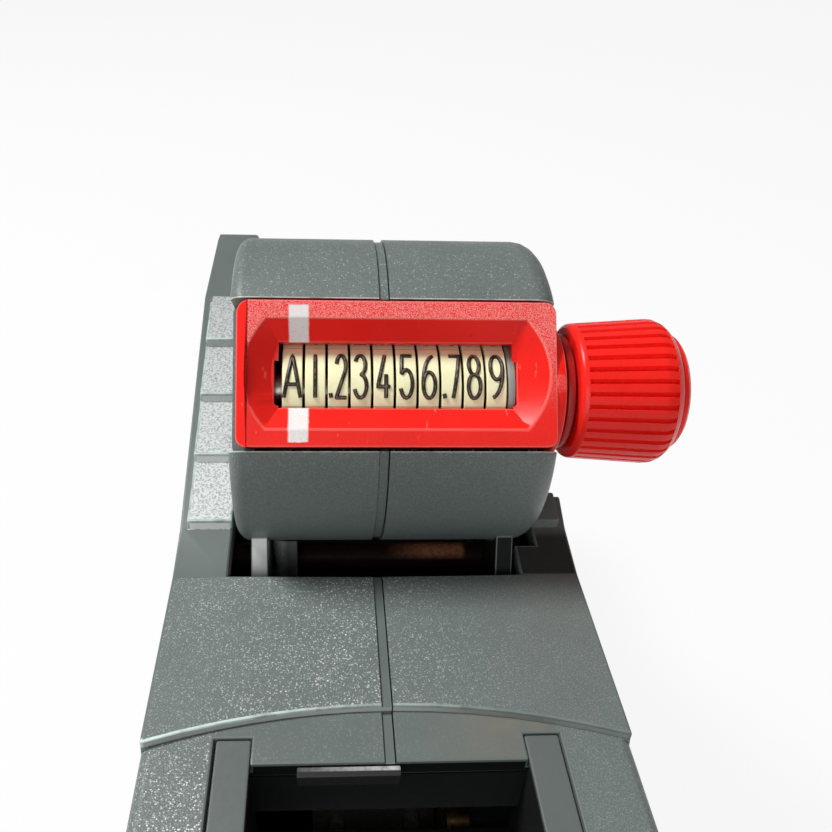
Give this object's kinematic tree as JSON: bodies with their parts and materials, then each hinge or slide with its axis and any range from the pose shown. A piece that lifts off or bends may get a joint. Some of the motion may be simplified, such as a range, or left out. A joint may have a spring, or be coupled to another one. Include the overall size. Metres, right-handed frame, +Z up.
{
  "type": "price labeller",
  "caption": "Hand-held price labeller: squeeze lever, label-roll well, swinging print head with number bands behind a red window bezel, and a pull-and-turn selector knob.",
  "frame": {"origin": "on the base plate's underside, on the centre plane, below the front edge of the panel", "axes": "+X to the user's right, +Y forwards to the nose, +Z up"},
  "size_m": [0.049, 0.2127, 0.0799],
  "materials": {
    "body_grey": "dark grey moulded plastic with a fine spark grain",
    "liner_grey": "smooth dark grey moulded plastic",
    "lever_grey": "dark grey moulded plastic, lightly grained",
    "inner_grey": "near-black moulded plastic",
    "bezel_red": "red plastic, grained face and smooth bevels",
    "knob_red": "red plastic with a satin gloss",
    "collar_red": "darker red plastic",
    "band_cream": "cream moulded rubber",
    "spacer_grey": "grey plastic washer",
    "steel": "turned steel",
    "copper_pin": "browned copper-plated steel",
    "roller_rubber": "black rubber",
    "ink_felt": "ink-soaked felt",
    "feed_white": "off-white moulded plastic",
    "ratchet_brass": "stamped brass"
  },
  "bodies": {
    "body": {"left_shell": "body_grey", "right_shell": "body_grey", "well_liner": "liner_grey", "label_guide_bar": "steel", "roll_leaf": "steel", "platen": "inner_grey", "platen_pad": "roller_rubber", "peel_plate": "steel", "applicator_axle": "steel", "feed_axle": "steel", "head_pivot_pin": "steel", "base_hinge_pin": "steel", "shell_screws": "steel", "lever_spring": "steel"},
    "print_head": {"head_left_shell": "body_grey", "head_right_shell": "body_grey", "head_strap": "steel", "head_drive_pin": "copper_pin", "window_bezel": "bezel_red", "print_band_1": "band_cream", "print_band_2": "band_cream", "print_band_3": "band_cream", "print_band_4": "band_cream", "print_band_5": "band_cream", "print_band_6": "band_cream", "print_band_7": "band_cream", "print_band_8": "band_cream", "print_band_9": "band_cream", "print_band_10": "band_cream", "band_wheels": "inner_grey", "band_spacer": "spacer_grey", "print_bar": "steel", "ink_holder": "inner_grey"},
    "ink": {"ink_roller": "ink_felt"},
    "selector_slider": {"knob_collar": "collar_red"},
    "selector": {"selector_shaft": "steel", "selector_knob": "knob_red"},
    "lever": {"hand_lever": "lever_grey"},
    "pawl": {"feed_pawl": "ratchet_brass"},
    "feed": {"feed_wheel": "feed_white", "ratchet_wheel": "ratchet_brass"},
    "applicator": {"applicator_roller": "roller_rubber"},
    "base": {"base_plate": "lever_grey"}
  },
  "joints": [
    {"name": "lever_squeeze", "type": "hinge", "parent": "body", "child": "lever", "pos_m": [0, -0.002, 0.024], "axis": [-1, 0, 0], "range_deg": [0, 8], "stiffness_Nm_per_rad": 20, "springref_deg": -5.73, "deforming": ["lever_spring"]},
    {"name": "head_swing", "type": "hinge", "parent": "body", "child": "print_head", "pos_m": [0, -0.012, 0.044], "axis": [-1, 0, 0], "range_deg": [0, 10]},
    {"name": "selector_pull", "type": "slide", "parent": "print_head", "child": "selector_slider", "axis": [1, 0, 0], "range_m": [0, 0.0187]},
    {"name": "selector_turn", "type": "hinge", "parent": "selector_slider", "child": "selector", "pos_m": [0, 0.00821, 0.06889], "axis": [1, 0, 0], "continuous": true},
    {"name": "ink_spin", "type": "hinge", "parent": "print_head", "child": "ink", "pos_m": [0, 0.0243, 0.0527], "axis": [1, 0, 0], "continuous": true},
    {"name": "applicator_spin", "type": "hinge", "parent": "body", "child": "applicator", "pos_m": [0, 0.0575, 0.04771], "axis": [1, 0, 0], "continuous": true},
    {"name": "feed_spin", "type": "hinge", "parent": "body", "child": "feed", "pos_m": [0, -0.002, 0.024], "axis": [1, 0, 0], "continuous": true},
    {"name": "pawl_lift", "type": "hinge", "parent": "lever", "child": "pawl", "pos_m": [0, -0.01369, 0.03075], "axis": [1, 0, 0], "range_deg": [0, 15], "stiffness_Nm_per_rad": 0.02, "springref_deg": -17.19},
    {"name": "base_open", "type": "hinge", "parent": "body", "child": "base", "pos_m": [0, 0.044, 0.0034], "axis": [1, 0, 0], "range_deg": [0, 60]}
  ],
  "couplings": [
    {"joint": "head_swing", "follows": "lever_squeeze", "ratio": 1.25}
  ]
}
